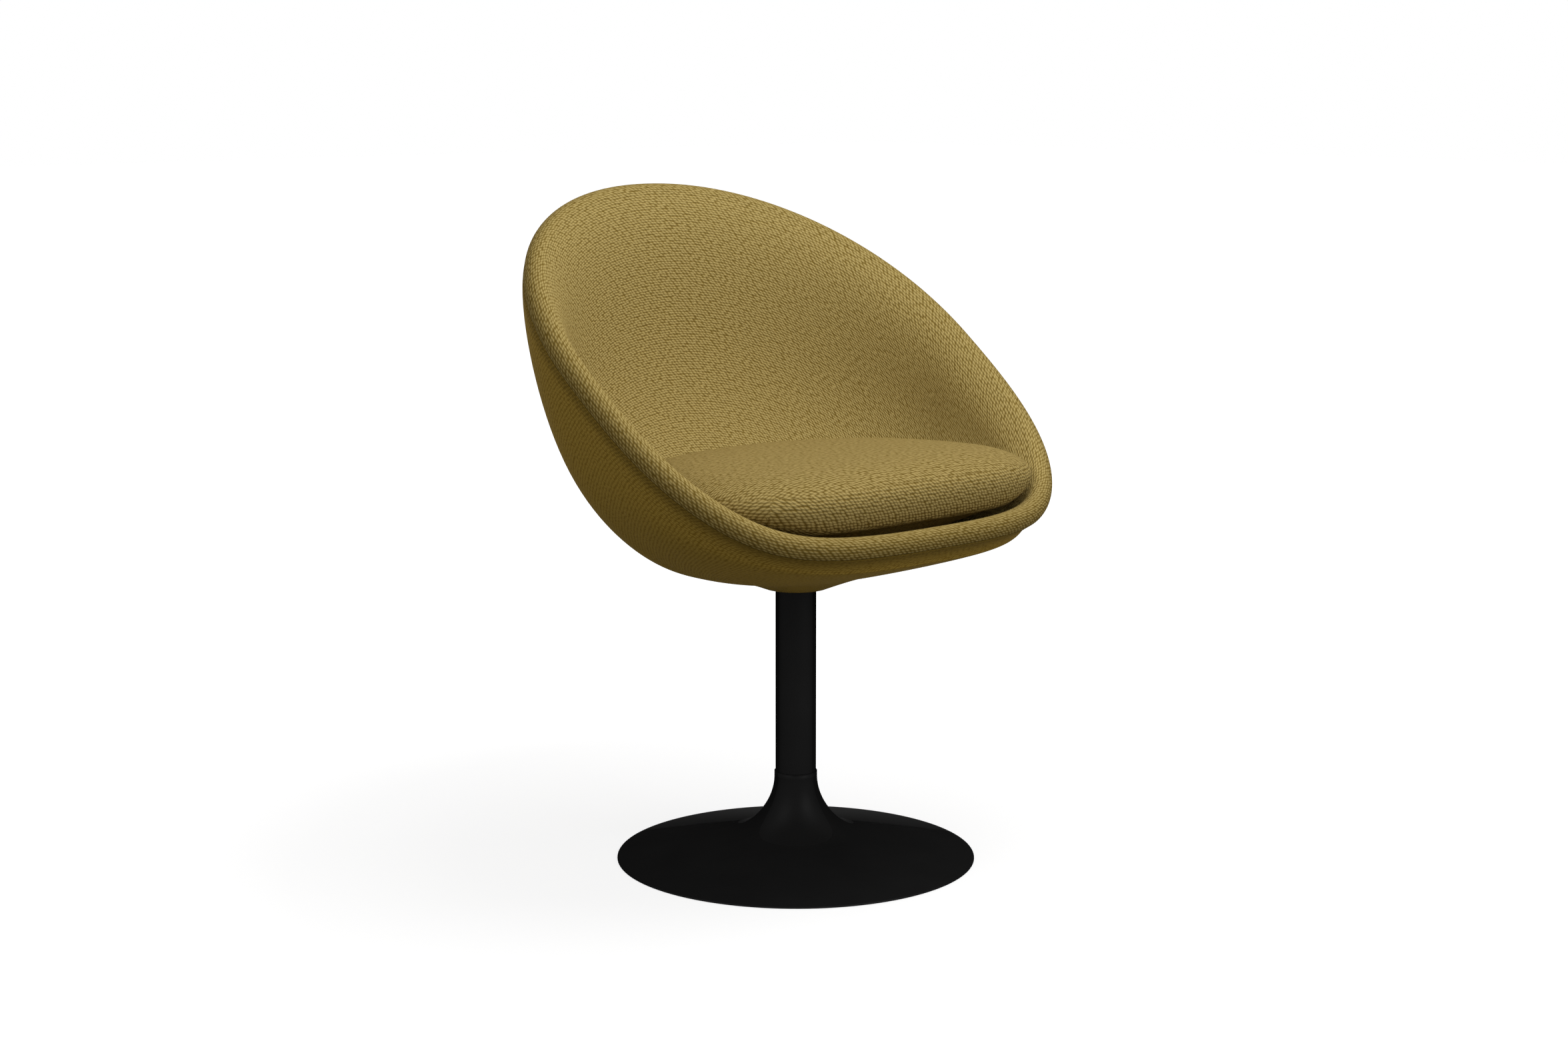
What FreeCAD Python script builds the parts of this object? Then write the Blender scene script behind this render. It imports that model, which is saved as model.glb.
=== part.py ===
"""Upholstered swivel tub chair on a trumpet base.

Millimetres, +Z up. The origin is on the floor, on the swivel axis, and the chair faces -Y.
"""
import FreeCAD, Part
import math
import os
from FreeCAD import Vector

# Base: floor pad, plate, column and spun trumpet cover
floor_pad_inset = 3.0
floor_pad_thickness = 2.5
base_plate_inset = 19.0
base_plate_thickness = 8.0
base_plate_clearance = 0.3
base_radius = 215.0
trumpet_wall = 1.2
trumpet_edge_gap = 0.5
trumpet_edge_round = 1.6
trumpet_edge_rise = 0.3
trumpet_edge_chords = 1
trumpet_cone_slope = math.radians(12)
trumpet_flare_chords = 6
trumpet_sides = 60
trumpet_flare_radius = 71.0
trumpet_neck_height = 105.8
column_radius = 24.3
column_wall = 2.5
column_length = 326.5
neck_clearance = 0.1
bush_fit = 0.05
screw_clearance = 0.5
thread_clearance = 0.05

# Swivel: bushes, thrust washer, spindle and its retaining nut
spindle_radius = 15.0
spindle_clearance = 0.05
bush_length = 40.0
lower_bush_drop = 155.0
thrust_washer_thickness = 2.5
thrust_washer_radius = 22.5
collar_radius = 21.0
collar_height = 12.5
stud_radius = 10.0
stud_length = 14.0
retainer_across = 36.0
retainer_height = 10.0
retainer_gap = 0.3

# Seat plate, its screws and the captive nuts on the shell
seat_plate_side = 100.0
seat_plate_thickness = 5.0
seat_plate_corner = 12.0
plate_screw_spacing = 66.0
plate_screw_radius = 4.0
plate_screw_length = 20.0
screw_head_across = 13.0
screw_head_height = 5.3
captive_nut_side = 18.0
captive_nut_height = 5.0
nut_pocket_clearance = 1.0

# Centre line of the rolled rim, with its heights above the seat plate
rim_half_width = 303.9
rim_front = -229.8
rim_back = 271.4
rim_widest = 25.0
rim_front_rise = 56.0
rim_back_rise = 425.5
rim_knee = -212.3
rim_knee_softness = 15.6
rim_bow = 4.1
rim_front_squareness = 2.78
rim_back_squareness = 2.07
lip_radius = 14.2
seam_angle = math.radians(-22)
foam_end_share = 0.72
tack_strip_start_share = 0.77
tack_strip_end_share = 0.95

# Layers of the tub, from the outside in
cover_thickness = 2.0
layer_gap = 0.4
shell_thickness = 6.0

# Outer surface of the tub, as control rings from the hub up to the seam
hub_radius = 39.0
hub_drop = 27.0
hub_flank_radius = 96.0
hub_flank_drop = 4.0
belly_reach = 0.50
belly_front_rise = -3.0
belly_back_rise = -25.0
haunch_front_reach = 1.057
haunch_back_reach = 0.932
haunch_front_rise = 36.0
haunch_back_rise = 148.0
shoulder_front_length = 37.6
shoulder_back_length = 25.4
shoulder_front_turn = math.radians(52.7)
shoulder_back_turn = math.radians(-1.3)

# Inner surface of the tub, as control rings from the seat's middle up to the lip
seat_height = 47.0
seat_middle_radius = 60.0
seat_flat_radius = 100.0
seat_edge_front_reach = 0.813
seat_edge_back_reach = 0.633
wall_front_reach = 0.905
wall_back_reach = 0.885
wall_front_rise = 55.0
wall_back_rise = 222.0
throat_front_length = 14.0
throat_back_length = 66.0
throat_front_turn = math.radians(15)
throat_back_turn = math.radians(42)

# Hub former between the shell and the outer cover
former_top_radius = 88.0
former_bore_radius = 76.0
former_foot_radius = 37.0

# Cushion
cushion_half_width = 243.0
cushion_front = -228.0
cushion_back = 176.0
cushion_widest = -48.0
cushion_front_squareness = 3.4
cushion_back_squareness = 2.2
cushion_middle_rise = 46.0
cushion_crown_rise = 50.0
cushion_edge_fullness = 3.4
cushion_tilt = math.radians(2.6)
cushion_clearance = 0.3
cushion_cover_thickness = 2.0
cushion_side_gap = 3.0
cushion_foot_radius = 55.0
cushion_underside = [(0.60, 1.0), (0.85, 0.80), (0.955, 0.38)]
cushion_crown_shares = [0.0, 0.35, 0.62, 0.82, 0.93, 0.985]
zip_height = 7.0
zip_thickness = 1.6
zip_gap = 0.7
zip_half_panels = 4

# How finely the upholstered forms are panelled
panels_round = 36
outer_rows = 9
inner_rows = 7
lip_steps = 5

# Levels and radii that the pieces share
base_plate_radius = base_radius - base_plate_inset
floor_pad_radius = base_plate_radius - floor_pad_inset
base_plate_bottom = floor_pad_thickness
base_plate_top = base_plate_bottom + base_plate_thickness
column_top = base_plate_top + column_length
collar_bottom = column_top + thrust_washer_thickness
seat_plate_bottom = collar_bottom + collar_height
seat_plate_top = seat_plate_bottom + seat_plate_thickness
lower_bush_top = column_top - lower_bush_drop
spindle_bottom = lower_bush_top - bush_length - retainer_gap
column_bore = column_radius - column_wall

Z_AXIS = Vector(0, 0, 1)
ORIGIN = Vector(0, 0, 0)


def turned(outline):
    """A solid turned about the swivel axis from a closed outline of (radius, height) corners."""
    corners = [Vector(radius, 0, height) for radius, height in outline]
    face = Part.Face(Part.makePolygon(corners + corners[:1]))
    return face.revolve(ORIGIN, Z_AXIS, 360)


def rod(radius, bottom, top, x=0.0, y=0.0):
    return Part.makeCylinder(radius, top - bottom, Vector(x, y, bottom))


def hexagon(across, bottom, top, x=0.0, y=0.0):
    reach = across / 2 / math.cos(math.pi / 6)
    corners = [
        Vector(x + reach * math.cos(k * math.pi / 3), y + reach * math.sin(k * math.pi / 3), bottom)
        for k in range(7)
    ]
    return Part.Face(Part.makePolygon(corners)).extrude(Z_AXIS * (top - bottom))


def band(low, high, outwards=True):
    """Flat panels between two rings, split the same way in every layer and mirrored left to right."""
    count = len(low)
    faces = []
    for k in range(count):
        following = (k + 1) % count
        a, b, c, d = low[k], low[following], high[following], high[k]
        for corners in ([a, b, d], [b, c, d]) if k < count // 2 else ([a, b, c], [a, c, d]):
            closed = corners + corners[:1] if outwards else corners[::-1] + corners[-1:]
            faces.append(Part.Face(Part.makePolygon(closed)))
    return faces


def cap(ring, outwards=True):
    closed = ring + ring[:1]
    return Part.Face(Part.makePolygon(closed if outwards else closed[::-1]))


def panelled(up, down=None, holed=False):
    """A solid of flat panels that climbs the rings of one skin and comes back down another's.

    Its first rings are joined if it is holed, and closed by flat panels if it isn't.
    """
    faces = []
    for low, high in zip(up, up[1:]):
        faces += band(low, high)
    if down:
        for low, high in zip(down, down[1:]):
            faces += band(low, high, outwards=False)
        faces += band(up[-1], down[-1])
    if holed:
        faces += band(up[0], down[0], outwards=False)
    else:
        faces.append(cap(up[0], outwards=False))
        faces.append(cap(down[0] if down else up[-1]))
    solid = Part.makeSolid(Part.makeShell(faces))
    if solid.Volume < 0:
        solid.reverse()
    return solid


def plate_screw_places():
    half = plate_screw_spacing / 2
    return [(x, y) for x in (-half, half) for y in (-half, half)]


def signed_power(value, exponent):
    return math.copysign(abs(value) ** exponent, value)


def mix(front, back, share):
    return front + (back - front) * share


# Base


def floor_pad():
    """Rubber disc under the plate that the chair stands on."""
    return rod(floor_pad_radius, 0, floor_pad_thickness)


def column_tube():
    return turned([(column_bore, base_plate_top), (column_radius, base_plate_top),
                   (column_radius, column_top), (column_bore, column_top)])


def chords(centre, radius, start, end, count):
    """Corners of an arc drawn as straight chords, each a point (radius, height)."""
    return [
        (centre[0] + radius * math.cos(mix(start, end, k / count)),
         centre[1] + radius * math.sin(mix(start, end, k / count)))
        for k in range(count + 1)
    ]


def trumpet_skin(offset):
    """The trumpet's skin from its floor edge to its neck, moved inwards by an offset."""
    slope = trumpet_cone_slope
    neck = column_radius + neck_clearance + trumpet_wall
    edge_centre = (base_radius - trumpet_edge_round, trumpet_edge_gap + trumpet_edge_rise)
    cone_start = edge_centre[0] + trumpet_edge_round * math.sin(slope)
    cone_start_height = edge_centre[1] + trumpet_edge_round * math.cos(slope)
    cone_end = neck + trumpet_flare_radius * (1 - math.sin(slope))
    cone_end_height = cone_start_height + (cone_start - cone_end) * math.tan(slope)
    flare_centre = (neck + trumpet_flare_radius, cone_end_height + trumpet_flare_radius * math.cos(slope))
    edge = chords(edge_centre, trumpet_edge_round - offset, 0.0, math.pi / 2 - slope, trumpet_edge_chords)
    flare = chords(flare_centre, trumpet_flare_radius + offset, 1.5 * math.pi - slope, math.pi,
                   trumpet_flare_chords)
    return [(base_radius - offset, trumpet_edge_gap)] + edge + flare + [(neck - offset, trumpet_neck_height)]


def base_plate():
    """Heavy steel disc that the column is welded to, its edge tapered to fit under the cover's cone."""
    cone_start, cone_start_height = trumpet_skin(trumpet_wall)[trumpet_edge_chords + 1]
    slope = math.tan(trumpet_cone_slope)
    edge_top = cone_start_height + (cone_start - base_plate_radius) * slope - base_plate_clearance
    shoulder = base_plate_radius - (base_plate_top - edge_top) / slope
    return turned([(0, base_plate_bottom), (base_plate_radius, base_plate_bottom),
                   (base_plate_radius, edge_top), (shoulder, base_plate_top), (0, base_plate_top)])


def trumpet_cover():
    """Spun steel: a slim neck round the column, flaring into a low cone that ends just off the floor."""
    turns = [2 * math.pi * k / trumpet_sides for k in range(trumpet_sides)]
    outside, inside = [
        [[Vector(radius * math.cos(turn), radius * math.sin(turn), height) for turn in turns]
         for radius, height in trumpet_skin(offset)]
        for offset in (0.0, trumpet_wall)
    ]
    return panelled(outside, inside, holed=True)


# Swivel


def spindle_bushes():
    """Two plain bushes pressed into the column, one at its top and one lower down."""
    bore = spindle_radius + spindle_clearance
    outer = column_bore - bush_fit
    return Part.makeCompound([
        turned([(bore, top - bush_length), (outer, top - bush_length), (outer, top), (bore, top)])
        for top in (column_top, lower_bush_top)
    ])


def thrust_washer():
    bore = spindle_radius + spindle_clearance
    return turned([(bore, column_top), (thrust_washer_radius, column_top),
                   (thrust_washer_radius, collar_bottom), (bore, collar_bottom)])


def spindle():
    """Turned bar with the collar that rests on the thrust washer and a threaded stud below."""
    return turned([(0, spindle_bottom - stud_length), (stud_radius, spindle_bottom - stud_length),
                   (stud_radius, spindle_bottom), (spindle_radius, spindle_bottom),
                   (spindle_radius, collar_bottom), (collar_radius, collar_bottom),
                   (collar_radius, seat_plate_bottom), (0, seat_plate_bottom)])


def retaining_nut():
    """Nut on the spindle's stud, wider than the lower bush's bore, so the seat can't lift out."""
    bottom = spindle_bottom - retainer_height
    nut = hexagon(retainer_across, bottom, spindle_bottom)
    return nut.cut(rod(stud_radius + thread_clearance, bottom, spindle_bottom))


def seat_plate():
    """Square steel plate on the spindle's collar, with four holes for the shell's screws."""
    half = seat_plate_side / 2
    plate = Part.makeBox(seat_plate_side, seat_plate_side, seat_plate_thickness,
                         Vector(-half, -half, seat_plate_bottom))
    uprights = [e for e in plate.Edges if abs(e.tangentAt(e.FirstParameter).z) > 0.9]
    plate = plate.makeChamfer(seat_plate_corner, uprights)
    hole = plate_screw_radius + screw_clearance
    holes = [rod(hole, seat_plate_bottom, seat_plate_top, x, y) for x, y in plate_screw_places()]
    return plate.cut(holes)


def plate_screws():
    screws = []
    for x, y in plate_screw_places():
        head = hexagon(screw_head_across, seat_plate_bottom - screw_head_height, seat_plate_bottom, x, y)
        shank = rod(plate_screw_radius, seat_plate_bottom, seat_plate_bottom + plate_screw_length, x, y)
        screws.append(head.fuse(shank))
    return Part.makeCompound(screws)


def captive_nuts():
    nuts = []
    bottom = seat_plate_top + shell_thickness
    half = captive_nut_side / 2
    for x, y in plate_screw_places():
        block = Part.makeBox(captive_nut_side, captive_nut_side, captive_nut_height,
                             Vector(x - half, y - half, bottom))
        bore = rod(plate_screw_radius + thread_clearance, bottom, bottom + captive_nut_height, x, y)
        nuts.append(block.cut(bore))
    return Part.makeCompound(nuts)


# Surfaces of the tub


def rim_point(angle):
    """A point of the rim's centre line, and how steeply its surface climbs there towards the back."""
    c, s = math.cos(angle), math.sin(angle)
    squareness = rim_front_squareness if c > 0 else rim_back_squareness
    x = rim_half_width * signed_power(s, 2 / squareness)
    reach = abs(c) ** (2 / squareness)
    y = rim_widest + ((rim_front if c > 0 else rim_back) - rim_widest) * reach

    def ramp(distance):
        return rim_knee_softness * math.log1p(math.exp(distance / rim_knee_softness))

    length = ramp(rim_back - rim_knee)
    share = ramp(y - rim_knee) / length
    climb = rim_back_rise - rim_front_rise
    z = seat_plate_top + rim_front_rise + climb * share + 4 * rim_bow * share * (1 - share)
    steepness = (climb + 4 * rim_bow * (1 - 2 * share)) / length
    steepness /= 1 + math.exp(-(y - rim_knee) / rim_knee_softness)
    return Vector(x, y, z), steepness


def plan_angle_of(point):
    return math.atan2(point.x, -point.y)


def rim_angle_at(plan_angle):
    """The rim's own angle at which it is seen from the swivel axis under a plan angle."""
    low, high = plan_angle - 0.7, plan_angle + 0.7
    for _ in range(40):
        middle = (low + high) / 2
        seen = plan_angle_of(rim_point(middle)[0])
        behind = (seen - plan_angle + math.pi) % (2 * math.pi) - math.pi
        if behind < 0:
            low = middle
        else:
            high = middle
    return (low + high) / 2


class RimStation:
    """One station round the rim: its centre, the outward and upward directions, and the way back."""

    def __init__(self, plan_angle):
        angle = rim_angle_at(plan_angle)
        step = 1e-3
        self.centre, steepness = rim_point(angle)
        along = rim_point(angle + step)[0] - rim_point(angle - step)[0]
        self.up = Vector(0, -steepness, 1).normalize()
        self.out = self.up.cross(along).normalize()
        if self.out.dot(Vector(math.sin(plan_angle), -math.cos(plan_angle), 0)) < 0:
            self.out = -self.out
        self.radial = Vector(math.sin(plan_angle), -math.cos(plan_angle), 0)
        self.reach = math.hypot(self.centre.x, self.centre.y)
        self.back = (1 - math.cos(angle)) / 2

    def on_lip(self, angle, radius):
        return self.centre + self.out * (radius * math.cos(angle)) + self.up * (radius * math.sin(angle))

    def ring_point(self, radius, rise):
        return self.radial * radius + Z_AXIS * (seat_plate_top + rise)

    def leaving(self, turn):
        """Direction down from the lip, turned inwards."""
        return -self.up * math.cos(turn) - self.out * math.sin(turn)


def section_curve(controls):
    curve = Part.BSplineCurve()
    curve.buildFromPolesMultsKnots(controls, [4, 1, 1, 4], [0, 1 / 3, 2 / 3, 1], False, 3)
    return curve


def outer_section(station):
    """From the hub out under the seat and up to the seam below the lip."""
    share = station.back
    seam = station.on_lip(seam_angle, lip_radius)
    turn = mix(shoulder_front_turn, shoulder_back_turn, share)
    length = mix(shoulder_front_length, shoulder_back_length, share)
    haunch = station.reach * mix(haunch_front_reach, haunch_back_reach, share)
    return section_curve([
        station.ring_point(hub_radius, -hub_drop),
        station.ring_point(hub_flank_radius, -hub_flank_drop),
        station.ring_point(belly_reach * station.reach, mix(belly_front_rise, belly_back_rise, share)),
        station.ring_point(haunch, mix(haunch_front_rise, haunch_back_rise, share)),
        seam + station.leaving(turn) * length,
        seam,
    ])


def throat_angle(station):
    return math.pi - mix(throat_front_turn, throat_back_turn, station.back)


def inner_section(station):
    """From the middle of the seat out and up the wall to the lip's inner side."""
    share = station.back
    start = station.on_lip(throat_angle(station), lip_radius)
    turn = mix(throat_front_turn, throat_back_turn, share)
    length = mix(throat_front_length, throat_back_length, share)
    edge = station.reach * mix(seat_edge_front_reach, seat_edge_back_reach, share)
    wall = station.reach * mix(wall_front_reach, wall_back_reach, share)
    return section_curve([
        station.ring_point(seat_middle_radius, seat_height),
        station.ring_point(seat_flat_radius, seat_height),
        station.ring_point(edge, seat_height),
        station.ring_point(wall, mix(wall_front_rise, wall_back_rise, share)),
        start + station.leaving(turn) * length,
        start,
    ])


def rings_of(sections, rows):
    return [[curve.value(row / rows) for curve in sections] for row in range(rows + 1)]


def ring_normals(rings):
    """Unit normals of a net of rings, each pointing away from the swivel axis or down."""
    count = len(rings[0])
    normals = []
    for row, ring in enumerate(rings):
        below = rings[max(row - 1, 0)]
        above = rings[min(row + 1, len(rings) - 1)]
        normals.append([
            (ring[(k + 1) % count] - ring[k - 1]).cross(above[k] - below[k]).normalize()
            for k in range(count)
        ])
    return normals


def moved(rings, normals, distance):
    return [[p + n * distance for p, n in zip(ring, row)] for ring, row in zip(rings, normals)]


stations = [RimStation(2 * math.pi * k / panels_round) for k in range(panels_round)]
outer_rings = rings_of([outer_section(s) for s in stations], outer_rows)
outer_normals = ring_normals(outer_rings)
inner_rings = rings_of([inner_section(s) for s in stations], inner_rows)
inner_normals = ring_normals(inner_rings)


def lip_ring(angle_of, radius):
    return [s.on_lip(angle_of(s), radius) for s in stations]


def outer_layer(depth):
    """The outer surface's rings, moved into the wall by a depth and ended under the lip."""
    rings = moved(outer_rings, outer_normals, -depth)
    rings[-1] = lip_ring(lambda s: seam_angle, lip_radius - depth)
    return rings


def inner_layer(depth):
    """The inner surface's rings, moved into the wall by a depth, with a level middle."""
    rings = moved(inner_rings, inner_normals, depth)
    level = seat_plate_top + seat_height - depth
    rings[0] = [Vector(p.x, p.y, level) for p in inner_rings[0]]
    rings[-1] = lip_ring(throat_angle, lip_radius - depth)
    return rings


def lip_layer(depth, steps=None):
    """Rings round the rolled lip, from the throat over the top to the seam."""
    rings = []
    for step in range(1, (steps or lip_steps) + 1):
        share = step / lip_steps
        rings.append(lip_ring(lambda s: mix(throat_angle(s), seam_angle, share), lip_radius - depth))
    return rings


def last_panel_ring(depth, share):
    """A ring at a share of the way down the lip's last panels."""
    above, below = lip_layer(depth)[-2:]
    return [mix(p, q, share) for p, q in zip(above, below)]


# Tub


def outer_cover():
    """Bouclé panel from the hub's opening to the seam under the lip."""
    return panelled(outer_layer(0.0), outer_layer(cover_thickness), holed=True)


def land_ring(radius, rise):
    return [s.ring_point(radius, rise) for s in stations]


def first_row_above(rings, level, radius):
    """The first ring that lies outside a radius and above a level all round."""
    for row, ring in enumerate(rings):
        if min(p.z for p in ring) > level and min(math.hypot(p.x, p.y) for p in ring) > radius:
            return row
    return len(rings) - 1


shell_depth = cover_thickness + layer_gap
shell_outside = outer_layer(shell_depth)
shell_inside = outer_layer(shell_depth + shell_thickness)
shell_start = first_row_above(shell_outside, seat_plate_top, former_top_radius)


def moulded_shell():
    """Hard shell with a flat land for the seat plate, drilled for the plate's screws."""
    under = [land_ring(former_top_radius, 0.0)] + shell_outside[shell_start:]
    over = [land_ring(former_top_radius, shell_thickness)] + shell_inside[shell_start:]
    shell = panelled(under, over)
    top = seat_plate_top + shell_thickness
    hole = plate_screw_radius + screw_clearance
    return shell.cut([rod(hole, seat_plate_top, top, x, y) for x, y in plate_screw_places()])


def hub_former():
    """Moulded ring under the shell that fills the cone of the outer cover round the column."""
    flank = outer_layer(shell_depth)[:shell_start]
    top = land_ring(former_top_radius, 0.0)
    bore_top = land_ring(former_bore_radius, 0.0)
    bore_foot = land_ring(former_foot_radius, -hub_drop + shell_depth)
    return panelled(flank + [top], [bore_foot, bore_top], holed=True)


def inner_foam():
    """Seat and wall padding, rolled over the shell's edge, with pockets over the captive nuts."""
    depth = cover_thickness + layer_gap
    edge_depth = shell_depth + shell_thickness + layer_gap
    upper = inner_layer(depth) + lip_layer(depth)[:-1] + [last_panel_ring(depth, foam_end_share)]
    land = land_ring(former_top_radius, shell_thickness + layer_gap)
    turn_in = last_panel_ring(edge_depth, foam_end_share)
    foam = panelled(upper, [land] + outer_layer(edge_depth)[shell_start:] + [turn_in])
    half = captive_nut_side / 2 + nut_pocket_clearance
    bottom = seat_plate_top + shell_thickness
    height = max(captive_nut_height, plate_screw_length - seat_plate_thickness - shell_thickness)
    pockets = [
        Part.makeBox(2 * half, 2 * half, height + nut_pocket_clearance, Vector(x - half, y - half, bottom))
        for x, y in plate_screw_places()
    ]
    return foam.cut(pockets)


def inner_cover():
    """Bouclé panel over the seat, up the wall and round the lip to the seam."""
    outside = inner_layer(0.0) + lip_layer(0.0)
    inside = inner_layer(cover_thickness) + lip_layer(cover_thickness)
    return panelled(outside, inside)


def tack_strip():
    """Strip along the shell's edge that both covers are stapled to under the lip."""
    outside, inside = [
        [last_panel_ring(depth, share) for share in (tack_strip_end_share, tack_strip_start_share)]
        for depth in (shell_depth, shell_depth + shell_thickness)
    ]
    return panelled(outside, inside, holed=True)


# Cushion


def cushion_outline(angle):
    """The cushion's plan outline about its widest line, for an angle from the front."""
    c, s = math.cos(angle), math.sin(angle)
    squareness = cushion_front_squareness if c > 0 else cushion_back_squareness
    end = cushion_front if c > 0 else cushion_back
    x = cushion_half_width * signed_power(s, 2 / squareness)
    y = (end - cushion_widest) * abs(c) ** (2 / squareness)
    return x, y


cushion_middle = seat_plate_top + seat_height + cushion_middle_rise
cushion_bottom = seat_plate_top + seat_height + cushion_clearance
tub_inside = inner_layer(0.0) + lip_layer(0.0, lip_steps // 2)
out_of_the_tub = 1e6


def tub_reach(station, height):
    """How far the tub's inside is from the swivel axis at one station and height."""
    for low, high in zip(tub_inside, tub_inside[1:]):
        p, q = low[station], high[station]
        if p.z <= height < q.z:
            near, far = math.hypot(p.x, p.y), math.hypot(q.x, q.y)
            return mix(near, far, (height - p.z) / (q.z - p.z))
    return out_of_the_tub


def clears_tub(point):
    """Whether a point of the cushion is inside the tub, or above its lip, with the side gap to spare."""
    turn = plan_angle_of(point) % (2 * math.pi) * panels_round / (2 * math.pi)
    station = int(turn) % panels_round
    height = max(point.z - cushion_side_gap, tub_inside[0][0].z)
    sides = [tub_reach(k % panels_round, height) for k in (station, station + 1)]
    return math.hypot(point.x, point.y) + cushion_side_gap < mix(min(sides), max(sides), 0.25)


def settled(point):
    """The point, drawn towards the cushion's middle until it clears the tub."""
    middle = Vector(0, cushion_widest, cushion_middle)
    share = 1.0
    while share > 0.3 and not clears_tub(mix(middle, point, share)):
        share -= 0.004
    return mix(middle, point, share)


def cushion_ring(share, height, tilt=1.0):
    """A ring at a share of the cushion's outline and a height above its middle."""
    ring = []
    for k in range(panels_round):
        x, y = cushion_outline(2 * math.pi * k / panels_round)
        z = cushion_middle + height - tilt * share * y * math.tan(cushion_tilt)
        ring.append(Vector(x * share, cushion_widest + y * share, z))
    return ring


def crown_share(height_share):
    """How far out the cushion reaches at a share of its crown's height."""
    return (1 - height_share ** cushion_edge_fullness) ** (1 / cushion_edge_fullness)


def cushion_surface():
    """Rings from the foot in the middle of the seat, up the sides and over the crown."""
    depth = cushion_middle - cushion_bottom
    rings = [[s.ring_point(cushion_foot_radius, seat_height + cushion_clearance) for s in stations]]
    for share, height_share in cushion_underside:
        ring = cushion_ring(share, -depth * height_share, tilt=1 - height_share)
        rings.append([settled(p) for p in ring])
    for height_share in cushion_crown_shares:
        ring = cushion_ring(crown_share(height_share), cushion_crown_rise * height_share)
        rings.append([settled(p) for p in ring])
    return rings


cushion_rings = cushion_surface()
cushion_normals = ring_normals(cushion_rings)


def cushion_layer(depth):
    """The cushion's rings, moved inwards by a depth, with its foot and its top kept flat."""
    rings = moved(cushion_rings, cushion_normals, -depth)
    rings[0] = [p + Z_AXIS * depth for p in cushion_rings[0]]
    rings[-1] = [p - Z_AXIS * depth for p in cushion_rings[-1]]
    return rings


def cushion_foam():
    return panelled(cushion_layer(cushion_cover_thickness + layer_gap))


def cushion_cover():
    """Bouclé case round the foam, closed at the back by the zip."""
    return panelled(cushion_layer(0.0)).cut(panelled(cushion_layer(cushion_cover_thickness)))


def cushion_zip():
    """Zip along the back of the case, half way up."""
    row = 1 + len(cushion_underside)
    middle = panels_round // 2
    sections = []
    for k in range(middle - zip_half_panels, middle + zip_half_panels + 1):
        outwards = cushion_normals[row][k]
        half = (cushion_rings[row + 1][k] - cushion_rings[row - 1][k]).normalize() * (zip_height / 2)
        near = cushion_rings[row][k] + outwards * zip_gap
        far = near + outwards * zip_thickness
        sections.append([near - half, far - half, far + half, near + half])
    return panelled(sections)


# Export


def export_all(shapes):
    os.makedirs("parts", exist_ok=True)
    for name, shape in shapes.items():
        shape.exportStep("parts/" + name + ".step")


export_all({
    "floor_pad": floor_pad(),
    "base_plate": base_plate(),
    "column_tube": column_tube(),
    "trumpet_cover": trumpet_cover(),
    "spindle_bushes": spindle_bushes(),
    "thrust_washer": thrust_washer(),
    "spindle": spindle(),
    "retaining_nut": retaining_nut(),
    "seat_plate": seat_plate(),
    "plate_screws": plate_screws(),
    "captive_nuts": captive_nuts(),
    "moulded_shell": moulded_shell(),
    "hub_former": hub_former(),
    "inner_foam": inner_foam(),
    "inner_cover": inner_cover(),
    "outer_cover": outer_cover(),
    "tack_strip": tack_strip(),
    "cushion_foam": cushion_foam(),
    "cushion_cover": cushion_cover(),
    "cushion_zip": cushion_zip(),
})
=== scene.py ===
import math
import bmesh
import bpy
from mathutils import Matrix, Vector


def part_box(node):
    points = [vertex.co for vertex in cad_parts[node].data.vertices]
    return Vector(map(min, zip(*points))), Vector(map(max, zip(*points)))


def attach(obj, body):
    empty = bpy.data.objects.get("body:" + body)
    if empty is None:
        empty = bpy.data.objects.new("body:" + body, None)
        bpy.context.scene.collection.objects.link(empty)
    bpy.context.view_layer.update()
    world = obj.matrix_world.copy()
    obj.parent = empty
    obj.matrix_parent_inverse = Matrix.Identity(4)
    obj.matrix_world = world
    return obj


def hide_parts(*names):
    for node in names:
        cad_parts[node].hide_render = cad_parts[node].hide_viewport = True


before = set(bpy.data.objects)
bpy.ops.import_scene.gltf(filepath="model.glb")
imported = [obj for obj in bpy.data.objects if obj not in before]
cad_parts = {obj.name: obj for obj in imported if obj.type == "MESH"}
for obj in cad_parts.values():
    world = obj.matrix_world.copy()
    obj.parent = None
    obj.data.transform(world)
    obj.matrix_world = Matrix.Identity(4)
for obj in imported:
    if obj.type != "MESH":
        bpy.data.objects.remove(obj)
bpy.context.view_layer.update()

MM = 0.001


# The studio: a camera at standing height in front of the chair's right side, a plain pale floor,
# and soft boxes above and around it. The floor turns white where the camera looks at it, and keeps
# the chair's own shadow.

def add_node(tree, kind, inputs=None, **settings):
    """Adds a node with its settings; an input is given a value, or the socket that feeds it."""
    node = tree.nodes.new(kind)
    for name, value in settings.items():
        setattr(node, name, value)
    for name, value in (inputs or {}).items():
        if isinstance(value, bpy.types.NodeSocket):
            tree.links.new(value, node.inputs[name])
        else:
            node.inputs[name].default_value = value
    return node


def linear(hex_colour):
    """An sRGB hex colour as linear red, green, blue and alpha."""
    channels = [int(hex_colour[k:k + 2], 16) / 255 for k in (0, 2, 4)]
    return tuple(
        c / 12.92 if c <= 0.04045 else ((c + 0.055) / 1.055) ** 2.4 for c in channels
    ) + (1.0,)


def new_object(name, mesh):
    piece = bpy.data.objects.new(name, mesh)
    bpy.context.scene.collection.objects.link(piece)
    return piece


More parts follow.
